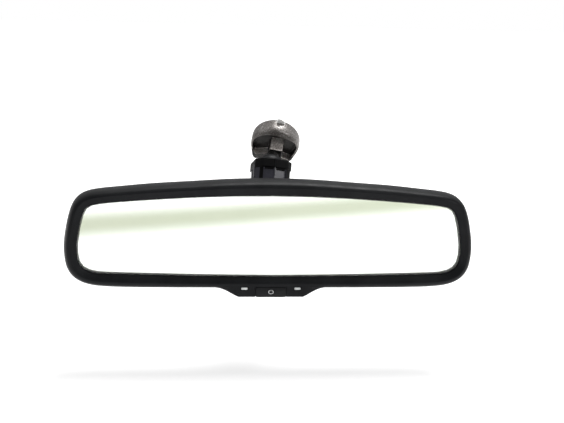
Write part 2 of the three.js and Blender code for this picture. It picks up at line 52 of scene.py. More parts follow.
ROW_MOUNT_BALL = np.array(J["upper_ball_tilt"]["pos_m"]) * 1000
ORIGIN = HEAD_BALL - ROW_HEAD_BALL
MOUNT_BALL = ROW_MOUNT_BALL + ORIGIN
N = np.array(J["upper_ball_turn"]["axis"], float)
N /= np.linalg.norm(N)
FACE_C = ORIGIN - N * 8.5
REACH = float(np.linalg.norm(FACE_C - MOUNT_BALL))
BM = np.array(J["upper_ball_swing"]["axis"], float)
BM /= np.linalg.norm(BM)
AM = np.cross(BM, N)
K = (MOUNT_BALL - HEAD_BALL)
ARM_L = float(np.linalg.norm(K))
K /= ARM_L


def spin(v, k, t):
    return v * math.cos(t) + np.cross(k, v) * math.sin(t) + k * np.dot(k, v) * (1 - math.cos(t))


IA = np.array([1.0, 0, 0]) - K * K[0]
IA /= np.linalg.norm(IA)
IA = spin(IA, K, math.radians(8))
JA = np.cross(K, IA)


def frame_matrix(x, y, z, at):
    m = Matrix.Identity(4)
    for r in range(3):
        m[r][0], m[r][1], m[r][2], m[r][3] = x[r] / 1000, y[r] / 1000, z[r] / 1000, at[r] / 1000
    return m


HEAD = frame_matrix([1, 0, 0], [0, 1, 0], [0, 0, 1], -ORIGIN)
MOUNT = frame_matrix(AM, BM, N, FACE_C - ORIGIN)
ARM = frame_matrix(IA, JA, K, HEAD_BALL - ORIGIN)
to_arm = lambda v: np.array([np.dot(v, IA), np.dot(v, JA), np.dot(v, K)])
N_ARM, FWD_ARM = to_arm(N), to_arm(np.array([0, -1.0, 0]))

# ------------------------------------------------------------------ camera and stage
P0 = np.array([0.0, 0.0, 0.0])
az, el, roll, dist = math.radians(-6.0), math.radians(10.0), math.radians(1.43), 730.0
cd = np.array([math.sin(az) * math.cos(el), -math.cos(az) * math.cos(el), math.sin(el)])
cr = np.array([math.cos(az), math.sin(az), 0])
cu = np.cross(cd, cr)
P0 = cr * 5.9 + cu * 14.75
cr2, cu2 = cr * math.cos(roll) + cu * math.sin(roll), cu * math.cos(roll) - cr * math.sin(roll)
cam_data = bpy.data.cameras.new("camera")
cam_data.sensor_width = 36.0
cam_data.lens = 36.0 * 1168 / 564
cam_data.clip_start, cam_data.clip_end = 0.01, 50
cam = bpy.data.objects.new("camera", cam_data)
bpy.context.scene.collection.objects.link(cam)
cpos = (P0 + cd * dist - ORIGIN) / 1000
cam.matrix_world = Matrix(((cr2[0], cu2[0], cd[0], cpos[0]), (cr2[1], cu2[1], cd[1], cpos[1]), (cr2[2], cu2[2], cd[2], cpos[2]), (0, 0, 0, 1)))
bpy.context.scene.camera = cam
bpy.context.scene.view_settings.view_transform = "Standard"
bpy.context.scene.view_settings.look = "None"


# ------------------------------------------------------------------ mesh helpers
def link(name, verts, faces):
    me = bpy.data.meshes.new(name)
    me.from_pydata([tuple(map(float, v)) for v in verts], [], faces)
    me.update()
    bm = bmesh.new()
    bm.from_mesh(me)
    bmesh.ops.recalc_face_normals(bm, faces=bm.faces)
    bm.to_mesh(me)
    bm.free()
    o = bpy.data.objects.new(name, me)
    bpy.context.scene.collection.objects.link(o)
    return o


def drop(o):
    me = o.data
    bpy.data.objects.remove(o)
    bpy.data.meshes.remove(me)


def apply_all(o):
    bpy.context.view_layer.update()
    dg = bpy.context.evaluated_depsgraph_get()
    me = bpy.data.meshes.new_from_object(o.evaluated_get(dg))
    o.modifiers.clear()
    old = o.data
    o.data = me
    bpy.data.meshes.remove(old)
    me.name = o.name
    return o


def boolean(o, cutter, op="DIFFERENCE", keep=False):
    m = o.modifiers.new("b", "BOOLEAN")
    m.operation, m.object, m.solver = op, cutter, "MANIFOLD"
    n0 = len(o.data.polygons)
    apply_all(o)
    if len(o.data.polygons) == 0 and n0:
        raise RuntimeError(f"boolean with {cutter.name} left nothing of {o.name}")
    if not keep:
        drop(cutter)
    return o


def lathe(name, prof, seg=72, direction=None, at=(0, 0, 0)):
    """profile [(r, h), ...] turned about +Z, then +Z aimed along direction, at a point"""
    verts, faces, rows = [], [], []
    for r, h in prof:
        if r < 1e-6:
            rows.append([len(verts)])
            verts.append((0, 0, h))
        else:
            rows.append(list(range(len(verts), len(verts) + seg)))
            verts += [(r * math.cos(2 * math.pi * i / seg), r * math.sin(2 * math.pi * i / seg), h) for i in range(seg)]
    closed = prof[0][0] > 1e-6
    pairs = list(zip(rows, rows[1:])) + ([(rows[-1], rows[0])] if closed else [])
    for a, b in pairs:
        for i in range(seg):
            k = (i + 1) % seg
            if len(a) == 1 and len(b) == 1:
                continue
            if len(a) == 1:
                faces.append((a[0], b[k], b[i]))
            elif len(b) == 1:
                faces.append((a[i], a[k], b[0]))
            else:
                faces.append((a[i], a[k], b[k], b[i]))
    if direction is not None:
        q = Vector((0, 0, 1)).rotation_difference(Vector(direction))
        verts = [tuple(q @ Vector(v) + Vector(at)) for v in verts]
    elif any(at):
        verts = [tuple(Vector(v) + Vector(at)) for v in verts]
    return link(name, verts, faces)


def arc(r, a0, a1, n):
    return [(r * math.sin(math.radians(a0 + (a1 - a0) * i / n)), r * math.cos(math.radians(a0 + (a1 - a0) * i / n))) for i in range(n + 1)]


def sphere(name, r, at=(0, 0, 0), seg=64):
    p = arc(r, 0, 180, seg // 2)
    p[0], p[-1] = (0, r), (0, -r)
    return lathe(name, p, seg, at=at)


def rod(name, r, z0, z1, seg=64, direction=None, at=(0, 0, 0), bevel=0.0):
    if bevel:
        return lathe(name, [(0, z0), (r - bevel, z0), (r - bevel * 0.3, z0 + bevel * 0.3), (r, z0 + bevel), (r, z1 - bevel), (r - bevel * 0.3, z1 - bevel * 0.3), (r - bevel, z1), (0, z1)], seg, direction, at)
    return lathe(name, [(0, z0), (r, z0), (r, z1), (0, z1)], seg, direction, at)


def block(name, x0, x1, y0, y1, z0, z1, bevel=0.0, seg=3):
    v = [(x, y, z) for x in (x0, x1) for y in (y0, y1) for z in (z0, z1)]
    f = [(0, 1, 3, 2), (4, 6, 7, 5), (0, 4, 5, 1), (2, 3, 7, 6), (0, 2, 6, 4), (1, 5, 7, 3)]
    o = link(name, v, f)
    if bevel:
        bm = bmesh.new()
        bm.from_mesh(o.data)
        bmesh.ops.bevel(bm, geom=list(bm.edges), offset=bevel, segments=seg, affect="EDGES", profile=0.5)
        bm.to_mesh(o.data)
        bm.free()
    return o


def prism(name, pts, y0, y1, bevel=0.0):
    """outline [(x, z), ...] between two depths, with its rims rounded by steps"""
    n = len(pts)
    cx, cz = sum(p[0] for p in pts) / n, sum(p[1] for p in pts) / n
    def ring(inset, y):
        out = []
        for i in range(n):
            a, b, c = pts[i - 1], pts[i], pts[(i + 1) % n]
            tx, tz = c[0] - a[0], c[1] - a[1]
            l = math.hypot(tx, tz) or 1
            nx, nz = tz / l, -tx / l
            if nx * (b[0] - cx) + nz * (b[1] - cz) < 0:
                nx, nz = -nx, -nz
            out.append((b[0] - nx * inset, y, b[1] - nz * inset))
        return out
    if bevel:
        rs = [ring(bevel, y0), ring(bevel * 0.3, y0 + bevel * 0.3), ring(0, y0 + bevel), ring(0, y1 - bevel), ring(bevel * 0.3, y1 - bevel * 0.3), ring(bevel, y1)]
    else:
        rs = [ring(0, y0), ring(0, y1)]
    return skin(name, rs)


def skin(name, rings, closed=False):
    n, m = len(rings[0]), len(rings)
    verts = [p for r in rings for p in r]
    faces = []
    for k in range(m if closed else m - 1):
        for i in range(n):
            faces.append((k * n + i, k * n + (i + 1) % n, ((k + 1) % m) * n + (i + 1) % n, ((k + 1) % m) * n + i))
    if not closed:
        faces.append(tuple(range(n))[::-1])
        faces.append(tuple(range((m - 1) * n, m * n)))
    return link(name, verts, faces)


def plan(name, pts, z0, z1):
    """outline [(a, b), ...] in the mount's plane between two heights"""
    n = len(pts)
    v = [(x, y, z) for z in (z0, z1) for x, y in pts]
    f = [tuple(range(n))[::-1], tuple(range(n, 2 * n))] + [(i, (i + 1) % n, n + (i + 1) % n, n + i) for i in range(n)]
    return link(name, v, f)


def pill(cx, cz, w, h, r, n=8):
    out = []
    for sx, sz, a0 in ((1, 1, 0), (-1, 1, 90), (-1, -1, 180), (1, -1, 270)):
        for i in range(n + 1):
            a = math.radians(a0 + 90 * i / n)
            out.append((cx + sx * (w / 2 - r) + r * math.cos(a), cz + sz * (h / 2 - r) + r * math.sin(a)))
    return out


def finish_piece(o, M, body, mat, replaces=(), sharp=35, smooth=True):
    o.data.transform(M)
    me = o.data
    bm = bmesh.new()
    bm.from_mesh(me)
    bmesh.ops.remove_doubles(bm, verts=bm.verts, dist=1e-6)
    bmesh.ops.dissolve_degenerate(bm, dist=1e-7, edges=bm.edges)
    bmesh.ops.recalc_face_normals(bm, faces=bm.faces)
    bm.to_mesh(me)
    bm.free()
    if smooth:
        me.polygons.foreach_set("use_smooth", [True] * len(me.polygons))
        me.set_sharp_from_angle(angle=math.radians(sharp))
    me.materials.clear()
    me.materials.append(mat)
    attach(o, body)
    if replaces:
        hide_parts(*replaces)
    return o


def second(o, M, mat, test):
    """another material on the faces whose centre and normal, in the piece's own millimetres, pass"""
    inv = M.inverted()
    rot = inv.to_3x3().normalized()
    o.data.materials.append(mat)
    k = len(o.data.materials) - 1
    for p in o.data.polygons:
        if test(inv @ p.center, (rot @ p.normal).normalized()):
            p.material_index = k


# ------------------------------------------------------------------ materials
def new_mat(name):
    m = bpy.data.materials.new(name)
    m.use_nodes = True
    nt = m.node_tree
    nt.nodes.clear()
    out = nt.nodes.new("ShaderNodeOutputMaterial")
    b = nt.nodes.new("ShaderNodeBsdfPrincipled")
    nt.links.new(b.outputs[0], out.inputs[0])
    tc = nt.nodes.new("ShaderNodeTexCoord")
    return m, nt, b, tc.outputs["Object"]


def noise(nt, vec, scale, detail=3.0, rough=0.5, distortion=0.0):
    n = nt.nodes.new("ShaderNodeTexNoise")
    n.inputs["Scale"].default_value = scale
    n.inputs["Detail"].default_value = detail
    n.inputs["Roughness"].default_value = rough
    n.inputs["Distortion"].default_value = distortion
    nt.links.new(vec, n.inputs["Vector"])
    return n.outputs[0]


def voronoi(nt, vec, scale, feature="SMOOTH_F1", smooth=0.4):
    n = nt.nodes.new("ShaderNodeTexVoronoi")
    n.feature = feature
    n.inputs["Scale"].default_value = scale
    if feature == "SMOOTH_F1":
        n.inputs["Smoothness"].default_value = smooth
    nt.links.new(vec, n.inputs["Vector"])
    return n.outputs[0]


def ramp(nt, fac, stops, interp="LINEAR"):
    r = nt.nodes.new("ShaderNodeValToRGB")
    r.color_ramp.interpolation = interp
    while len(r.color_ramp.elements) < len(stops):
        r.color_ramp.elements.new(0.5)
    for e, (p, c) in zip(r.color_ramp.elements, stops):
        e.position = p
        e.color = (*c, 1.0) if isinstance(c, (tuple, list)) else (c, c, c, 1.0)
    nt.links.new(fac, r.inputs[0])
    return r.outputs[0]


def math_node(nt, op, a, b):
    n = nt.nodes.new("ShaderNodeMath")
    n.operation = op
    for i, v in enumerate((a, b)):
        if isinstance(v, (int, float)):
            n.inputs[i].default_value = v
        else:
            nt.links.new(v, n.inputs[i])
    return n.outputs[0]


def bump(nt, height, strength, dist, normal=None):
    n = nt.nodes.new("ShaderNodeBump")
    n.inputs["Strength"].default_value = strength
    n.inputs["Distance"].default_value = dist
    nt.links.new(height, n.inputs["Height"])
    if normal is not None:
        nt.links.new(normal, n.inputs["Normal"])
    return n.outputs[0]


def stretched(nt, vec, scale):
    m = nt.nodes.new("ShaderNodeMapping")
    m.inputs["Scale"].default_value = scale
    nt.links.new(vec, m.inputs["Vector"])
    return m.outputs[0]


def plastic(name, dark, light, r0, r1, grain=0.35, depth=0.03, strength=0.35, spec=0.5):
    """moulded plastic: pebbled grain, faint flow marks, small roughness changes"""
    m, nt, b, vec = new_mat(name)
    s = 1000.0 / grain
    low = noise(nt, vec, 55, 2)
    fine = noise(nt, vec, s * 0.55, 3, 0.55)
    both = math_node(nt, "ADD", math_node(nt, "MULTIPLY", low, 0.65), math_node(nt, "MULTIPLY", fine, 0.35))
    nt.links.new(ramp(nt, both, [(0.38, dark), (0.62, light)]), b.inputs["Base Color"])
    rr = math_node(nt, "ADD", math_node(nt, "MULTIPLY", noise(nt, vec, 160, 3), 0.6), math_node(nt, "MULTIPLY", fine, 0.4))
    nt.links.new(ramp(nt, rr, [(0.35, r0), (0.65, r1)]), b.inputs["Roughness"])
    n1 = bump(nt, voronoi(nt, vec, s), strength, depth / 1000)
    n2 = bump(nt, noise(nt, vec, s * 2.2, 2), strength * 0.5, depth / 2500, n1)
    nt.links.new(n2, b.inputs["Normal"])
    b.inputs["Specular IOR Level"].default_value = spec
    return m


def metal(name, dark, light, r0, r1, brushed=(1, 1, 1), scale=900, depth=0.004, metallic=1.0):
    m, nt, b, vec = new_mat(name)
    v = stretched(nt, vec, brushed)
    f = noise(nt, v, scale, 4, 0.6)
    spots = noise(nt, vec, 120, 3)
    mixv = math_node(nt, "ADD", math_node(nt, "MULTIPLY", f, 0.4), math_node(nt, "MULTIPLY", spots, 0.6))
    nt.links.new(ramp(nt, mixv, [(0.36, dark), (0.64, light)]), b.inputs["Base Color"])
    nt.links.new(ramp(nt, mixv, [(0.36, r1), (0.64, r0)]), b.inputs["Roughness"])
    nt.links.new(bump(nt, f, 0.3, depth / 1000), b.inputs["Normal"])
    b.inputs["Metallic"].default_value = metallic
    return m


def cast_paint(name, tone=1.0):
    """die-cast zinc under speckled dark metallic paint; tone scales its colours, for a darker copy painted as shade and
    a paler copy painted as highlight
    """
    m, nt, b, vec = new_mat(name)
    low = noise(nt, vec, 90, 3)
    speck = noise(nt, vec, 1150, 4, 0.75)
    fleck = voronoi(nt, vec, 1900, "F1")
    mixv = math_node(nt, "ADD", math_node(nt, "MULTIPLY", low, 0.35), math_node(nt, "MULTIPLY", speck, 0.65))
    col = ramp(nt, mixv, [(q, tuple(min(v * tone, 0.86) for v in c)) for q, c in ((0.34, (0.034, 0.030, 0.027)), (0.45, (0.115, 0.105, 0.098)), (0.54, (0.205, 0.192, 0.183)), (0.64, (0.52, 0.50, 0.485)))])
    nt.links.new(col, b.inputs["Base Color"])
    nt.links.new(ramp(nt, fleck, [(0.0, 0.24), (0.5, 0.36), (1.0, 0.46)]), b.inputs["Roughness"])
    n1 = bump(nt, noise(nt, vec, 1300, 4, 0.65), 0.5, 0.06 / 1000)
    nt.links.new(bump(nt, noise(nt, vec, 260, 2), 0.4, 0.12 / 1000, n1), b.inputs["Normal"])
    b.inputs["Metallic"].default_value = 0.55
    return m


MAT = {}
MAT["housing_plastic"] = plastic("housing_plastic", (0.0050, 0.0054, 0.0062), (0.0092, 0.0098, 0.0110), 0.36, 0.50, grain=0.45, depth=0.035, spec=0.11)
MAT["button_plastic"] = plastic("button_plastic", (0.0046, 0.0049, 0.0055), (0.0074, 0.0078, 0.0086), 0.36, 0.46, grain=0.32, depth=0.018, spec=0.18)
MAT["arm_plastic"] = plastic("arm_plastic", (0.034, 0.034, 0.046), (0.046, 0.046, 0.061), 0.26, 0.34, grain=0.30, depth=0.006, spec=0.30)
# near-black matte plastic for the collar band, also used as painted shade on the arm cover's front below it
MAT["collar_black_and_painted_shade"] = plastic("collar_black_and_painted_shade", (0.0020, 0.0020, 0.0023), (0.0042, 0.0042, 0.0048), 0.55, 0.68, grain=0.35, depth=0.02, spec=0.10)
MAT["carrier_plastic"] = plastic("carrier_plastic", (0.02, 0.02, 0.021), (0.04, 0.04, 0.042), 0.5, 0.65)
MAT["component_black"] = plastic("component_black", (0.012, 0.012, 0.013), (0.025, 0.025, 0.027), 0.42, 0.55, grain=0.15, depth=0.01)
MAT["acetal"] = plastic("acetal", (0.008, 0.008, 0.009), (0.014, 0.014, 0.016), 0.45, 0.55, grain=0.8, depth=0.01, spec=0.2)
MAT["nylon"] = plastic("nylon", (0.020, 0.020, 0.021), (0.034, 0.034, 0.036), 0.42, 0.54, grain=0.8, depth=0.015)
MAT["window_plastic"] = plastic("window_plastic", (0.56, 0.58, 0.58), (0.68, 0.70, 0.69), 0.22, 0.34, grain=1.2, depth=0.008)
MAT["window_plastic"].node_tree.nodes["Principled BSDF"].inputs["Subsurface Weight"].default_value = 0.15
MAT["window_plastic"].node_tree.nodes["Principled BSDF"].inputs["Subsurface Radius"].default_value = (0.0008, 0.0008, 0.0008)
MAT["seal"] = plastic("seal", (0.15, 0.15, 0.14), (0.22, 0.22, 0.2), 0.5, 0.65)
MAT["foam"] = plastic("foam", (0.03, 0.03, 0.033), (0.07, 0.07, 0.075), 0.85, 0.98, grain=0.5, depth=0.2, strength=0.9)
MAT["board"] = plastic("board", (0.012, 0.09, 0.035), (0.02, 0.13, 0.055), 0.28, 0.4, grain=1.4, depth=0.02)
MAT["cast_grey"] = cast_paint("cast_grey")
# darker copy of the cast paint: painted shade for the pockets, the neck and the lip fronts
MAT["cast_shaded"] = cast_paint("cast_shaded", 0.12)
# paler copy of the cast paint: painted highlight for the tops of the boss and lips
MAT["cast_painted_highlight"] = cast_paint("cast_painted_highlight", 4.2)
MAT["zinc_spring"] = metal("zinc_spring", (0.45, 0.45, 0.44), (0.72, 0.72, 0.71), 0.28, 0.42, (1, 6, 1))
MAT["steel"] = metal("steel", (0.30, 0.30, 0.31), (0.52, 0.52, 0.53), 0.25, 0.4, (5, 1, 1))
MAT["ball_steel"] = metal("ball_steel", (0.010, 0.0098, 0.0095), (0.032, 0.031, 0.030), 0.42, 0.56, (1, 1, 1), 1500)
MAT["tube_black"] = metal("tube_black", (0.004, 0.004, 0.0045), (0.011, 0.011, 0.012), 0.50, 0.62, (1, 1, 1), 1400, 0.006, 0.1)
MAT["tube_black"].node_tree.nodes["Principled BSDF"].inputs["Specular IOR Level"].default_value = 0.15
MAT["clip_bright"] = metal("clip_bright", (0.66, 0.66, 0.655), (0.78, 0.78, 0.77), 0.38, 0.50, (1, 6, 1), 900, 0.004, 0.05)
MAT["contact_copper"] = metal("contact_copper", (0.55, 0.32, 0.17), (0.78, 0.52, 0.3), 0.25, 0.4)
MAT["lens_smoked"] = plastic("lens_smoked", (0.045, 0.046, 0.046), (0.065, 0.066, 0.066), 0.12, 0.2, grain=1.2, depth=0.004)
MAT["symbol_ink"] = plastic("symbol_ink", (0.72, 0.73, 0.73), (0.82, 0.83, 0.83), 0.45, 0.55, grain=0.3, depth=0.005)


def mirror_mat():
    m, nt, b, vec = new_mat("mirror_coating")
    nt.links.new(ramp(nt, noise(nt, vec, 18, 2), [(0.3, (0.895, 0.915, 0.885)), (0.7, (0.915, 0.93, 0.905))]), b.inputs["Base Color"])
    nt.links.new(ramp(nt, noise(nt, vec, 300, 3), [(0.3, 0.012), (0.75, 0.03)]), b.inputs["Roughness"])
    b.inputs["Metallic"].default_value = 1.0
    return m


def glass_mat():
    m, nt, b, vec = new_mat("clear_glass")
    nt.links.new(ramp(nt, noise(nt, vec, 25, 2), [(0.3, (0.975, 0.99, 0.975)), (0.7, (0.985, 0.995, 0.985))]), b.inputs["Base Color"])
    nt.links.new(ramp(nt, noise(nt, vec, 220, 4), [(0.3, 0.0), (0.8, 0.012)]), b.inputs["Roughness"])
    b.inputs["Transmission Weight"].default_value = 1.0
    b.inputs["IOR"].default_value = 1.5
    return m


MAT["mirror_coating"], MAT["clear_glass"] = mirror_mat(), glass_mat()

for s in frame["record"]["subparts"]:
    o = frame["nodes"][s["node"]]
    o.data.materials.clear()
    o.data.materials.append(MAT[s["material_slot"]])

# ------------------------------------------------------------------ head outlines
OUTER = [[0, 34.5], [25.12, 33.9], [50.25, 32.3], [75.37, 30.6], [95.47, 28.6], [106.53, 27.4], [113.56, 26],
         [118.79, 23.6], [122.61, 19.6], [125.22, 14], [127.53, 4.5], [129.04, -7], [128.64, -15.8], [127.03, -22.5],
         [123.82, -27.4], [119.19, -30.8], [112.56, -33.1], [103.51, -34.2], [85.42, -34.8], [55.27, -35], [26.13, -35],
         [0, -35]]
SIGHT = [[0, 24.8], [24.13, 24.5], [47.26, 23.6], [70.39, 22.2], [90.5, 20.7], [100.55, 19.8], [107.09, 19],
         [111.81, 17.9], [115.03, 15.8], [117.04, 11.9], [119.05, 4], [120.56, -6.5], [120.46, -12.8], [119.35, -17.9],
         [117.04, -21.2], [113.62, -23.2], [108.59, -24.5], [101.56, -25], [84.46, -25.5], [55.3, -26.15], [26.14, -26.55],
         [0, -26.75]]


def spline(pts, subs, closed=True):
    """centripetal Catmull-Rom through 2-D or 3-D points; subs points in each span"""
    p = np.array(pts, float)
    n = len(p)
    out = []
    for i in range(n if closed else n - 1):
        if closed:
            a, b, c, d = p[(i - 1) % n], p[i], p[(i + 1) % n], p[(i + 2) % n]
        else:
            b, c = p[i], p[i + 1]
            a = p[i - 1] if i > 0 else 2 * b - c
            d = p[i + 2] if i + 2 < n else 2 * c - b
        t0, t1, t2 = (max(np.linalg.norm(v), 1e-9) ** 0.5 for v in (b - a, c - b, d - c))
        m1 = ((b - a) / t0 - (c - a) / (t0 + t1) + (c - b) / t1) * t1
        m2 = ((c - b) / t1 - (d - b) / (t1 + t2) + (d - c) / t2) * t1
        k = subs[i] if isinstance(subs, (list, tuple)) else subs
        for j in range(k):
            t = j / k
            out.append((2 * t**3 - 3 * t**2 + 1) * b + (t**3 - 2 * t**2 + t) * m1 + (-2 * t**3 + 3 * t**2) * c + (t**3 - t**2) * m2)
    if not closed:
        out.append(p[-1])
    return np.array(out)


def both(half):
    return half + [[-x, z] for x, z in half[1:-1][::-1]]


SUBS = [8] * 42   # finer where the chin is
for i in (4, 5, 6, 7, 8, 9, 32, 33, 34, 35, 36, 37):
    SUBS[i] = 6
for i in (19, 22):
    SUBS[i] = 26
for i in (20, 21):
    SUBS[i] = 40
RO, RS = spline(both(OUTER), SUBS), spline(both(SIGHT), SUBS)
CHIN_Z = -39.75


def chin_weight(x, z):
    if z > -20:
        return 0.0
    t = min(max((34.8 - abs(x)) / (34.8 - 20.4), 0.0), 1.0)
    return 0.65 * t + 0.35 * t * t * (3 - 2 * t)


CW = np.array([chin_weight(p[0], p[1]) for p in RO])
RC = RO.copy()
RC[:, 1] = RO[:, 1] + (CHIN_Z - RO[:, 1]) * CW

# ------------------------------------------------------------------ bezel
A_FRONT = [(0.0, -0.7), (0.03, -1.05), (0.12, -1.55), (0.25, -2.15), (0.38, -2.66), (0.475, -2.96), (0.515, -3.06), (0.55, -2.97), (0.70, -2.1), (0.80, -0.9), (0.88, 0.7), (0.94, 2.7), (0.98, 5.2), (0.995, 7.5), (1.0, 9.0), (1.0, 9.5)]
B_FRONT = [("i", 0, -0.7), ("i", .25, -1.05), ("i", .95, -1.5), ("i", 2.0, -2.1), ("i", 3.0, -2.62), ("i", 3.8, -2.93), ("i", 4.2, -3.02), ("i", 4.6, -2.88), ("i", 6.0, -2.25), ("i", 7.2, -2.1), ("o", 3.6, -2.08), ("o", 1.1, -2.02), ("o", .42, -1.75), ("o", .1, -1.1), ("o", 0, 0.2), ("o", 0, 9.4)]
A_BACK = [(0.995, 9.8), (0.96, 9.95), (0.80, 9.95), (0.78, 9.5), (0.78, 1.9), (0.75, 1.6), (0.40, 1.6), (0.36, 1.3), (0.36, -0.25), (0.0, -0.25)]
B_BACK = [("o", .08, 9.8), ("o", .3, 9.95), ("o", 1.6, 9.95), ("o", 1.65, 9.5), ("o", 1.65, 1.6), ("i", 5.0, 1.2), ("i", 2.9, 1.6), ("i", 2.8, 1.3), ("i", 2.8, -0.25), ("i", 0, -0.25)]
fa = spline(A_FRONT, 3, closed=False)
rings_by_point = []
for i in range(len(RO)):
    d0, d1 = RO[i] - RS[i], RC[i] - RS[i]
    L0, L1 = np.linalg.norm(d0), np.linalg.norm(d1)
    e = d1 / L1
    w = CW[i] ** 0.6
    A = [(t * L0, y) for t, y in fa]
    b = spline([(s if k == "i" else L1 - s, y) for k, s, y in B_FRONT], 3, closed=False)
    A += [(t * L0, y) for t, y in A_BACK]
    B = [tuple(q) for q in b] + [(s if k == "i" else L1 - s, y) for k, s, y in B_BACK]
    row = []
    for (sa, ya), (sb, yb) in zip(A, B):
        s, y = sa + (sb - sa) * w, ya + (yb - ya) * w
        row.append((RS[i][0] + e[0] * s, y, RS[i][1] + e[1] * s))
    rings_by_point.append(row)
rings = [[rings_by_point[i][k] for i in range(len(RO))] for k in range(len(rings_by_point[0]))]
bezel = skin("bezel_shell", rings, closed=True)
boolean(bezel, block("c", -23.0, 23.0, 0.6, 14, -38.0, -30.0))
boolean(bezel, block("c", -9.75, 9.75, -6, 1.6, -45, -33.05, 0.0))
for s in (-1, 1):
    boolean(bezel, prism("c", pill(s * 16.7, -34.1, 4.16, 1.66, 0.8), -6, 3))
finish_piece(bezel, HEAD, "head", MAT["housing_plastic"], ("bezel",), 32)

# light guides in the chin
for s, nm, node in ((-1, "indicator_guide", "indicator_window"), (1, "sensor_guide", "glare_sensor_window")):
    o = prism(nm, pill(s * 16.7, -34.1, 3.96, 1.46, 0.7), -2.02, 7.1, 0.18)
    finish_piece(o, HEAD, "head", MAT["window_plastic"], (node,), 40)

# power button with a ring-and-bar symbol
btn = prism("button_cap", pill(0, -36.45, 19.0, 6.3, 0.7), -2.2, 1.0, 0.3)
finish_piece(btn, HEAD, "button", MAT["button_plastic"], ("power_button",), 40)
post = rod("button_post", 1.6, 0.8, 4.0, 40, (0, 1, 0), (0, 0, -36.0), 0.2)
finish_piece(post, HEAD, "button", MAT["button_plastic"])


def symbol():
    cx, cz, r0, r1, y0, y1 = 0.0, -36.2, 1.32, 1.62, -2.27, -2.15
    a0, a1, n = math.radians(90 + 27), math.radians(90 - 27 + 360), 40
    verts, faces = [], []
    for i in range(n + 1):
        a = a0 + (a1 - a0) * i / n
        for r in (r0, r1):
            for y in (y0, y1):
                verts.append((cx + r * math.cos(a), y, cz + (r * 0.80) * math.sin(a)))
    for i in range(n):
        a, b = 4 * i, 4 * (i + 1)
        faces += [(a, a + 2, b + 2, b), (a + 1, b + 1, b + 3, a + 3), (a, b, b + 1, a + 1), (a + 2, a + 3, b + 3, b + 2)]
    faces += [(0, 1, 3, 2), (4 * n, 4 * n + 2, 4 * n + 3, 4 * n + 1)]
    ring = link("power_symbol_ring", verts, faces)
    finish_piece(ring, HEAD, "button", MAT["symbol_ink"], (), 40)
    bar = prism("power_symbol_bar", pill(cx, cz + 1.1, 0.24, 0.8, 0.1, 4), y0, y1)
    finish_piece(bar, HEAD, "button", MAT["symbol_ink"], (), 40)


symbol()

# ------------------------------------------------------------------ rear housing
HR = [(1 - .7 / 128, 1 - .5 / 34, 10.3, 1.0), (0.9925, 0.983, 11.6, 1.0), (0.989, 0.975, 12.7, 1.0), (0.987, 0.971, 13.3, 0.90), (0.985, 0.966, 13.75, 0.25), (0.983, 0.96, 14.3, 0.0), (0.975, 0.928, 16.4, 0),
      (0.963, 0.885, 18.5, 0), (0.93, 0.76, 22.2, 0), (0.87, 0.60, 24.8, 0), (0.77, 0.40, 26.5, 0), (0.62, 0.18, 27.35, 0), (0.42, 0.05, 27.5, 0)]
hr = spline([h[:3] for h in HR], 4, closed=False)
cw = np.interp(hr[:, 2], [h[2] for h in HR], [h[3] for h in HR])


def housing_rings(inset=0.0):
    out = []
    for (kx, kz, y), c in zip(hr, cw):
        ring = []
        for i in range(len(RO)):
            x, z = RO[i][0] * (kx - inset / 128), RO[i][1] * (kz - inset / 34)
            z = z + ((CHIN_Z + 0.35) - z) * CW[i] * c
            ring.append((x, y - inset if inset and y > 10.4 else y, z))
        out.append(ring)
    return out


shell = skin("rear_shell", housing_rings())
core = skin("core", housing_rings(1.9))
core.data.transform(Matrix.Translation((0, -0.6, 0)))
full = shell.copy()
full.data = shell.data.copy()
bpy.context.scene.collection.objects.link(full)
boolean(shell, core)
plug = rod("plug", 23.3, 18.8, 40, 96, (0, 1, 0), (0, 0, -2))
boolean(plug, full, "INTERSECT")
boolean(shell, plug, "UNION")
recess = lathe("recess", [(0, 21.0), (20.4, 21.0), (21.2, 21.35), (21.5, 22.1), (21.5, 40), (0, 40)], 96, (0, 1, 0), (0, 0, -2))
boolean(shell, recess)
boolean(shell, rod("c", 4.6, 10, 30, 48, (0, 1, 0), (0, 0, -2)))
boolean(shell, block("c", -34 - 8.6, -34 + 8.6, 12, 40, -16 - 4.6, -16 + 4.6, 0.0))
boolean(shell, rod("c", 3.6, 12, 40, 48, (0, 1, 0), (36, 0, -14)))
for x in (-62, -57, -52, -47, 47, 52, 57, 62):
    boolean(shell, prism("c", pill(x, 7, 2.2, 10, 1.05), 12, 40))
finish_piece(shell, HEAD, "head", MAT["housing_plastic"], ("rear_housing",), 32)

lens = lathe("ambient_lens_dome", [(0, 12.4), (3.3, 12.4), (3.3, 24.9)] + [(3.3 * math.cos(a), 24.9 + 1.7 * math.sin(a)) for a in [math.pi / 2 * i / 10 for i in range(1, 10)]] + [(0, 26.6)], 48, (0, 1, 0), (36, 0, -14))
finish_piece(lens, HEAD, "head", MAT["lens_smoked"], ("ambient_lens",), 40)

# ------------------------------------------------------------------ ball studs, liners and seats
BALL_R, NECK_R = 6.5, 2.8
LINER, SEAT, CUP = (6.8, 7.6), (7.95, 8.75), (9.1, 10.4)
neck = math.degrees(math.asin(NECK_R / BALL_R))


def shell_ring(name, r, a0, a1):
    c0, c1 = 0.12, 0.12
    p = arc(r[1], a0 + 0.6, a1 - 0.6, 26) + arc(r[0], a1 - 0.6, a0 + 0.6, 26)
    return lathe(name, p, 72)


def place(o, d, at):
    q = Vector((0, 0, 1)).rotation_difference(Vector(d)).to_matrix().to_4x4()
    o.data.transform(Matrix.Translation(Vector(at)) @ q)
    return o


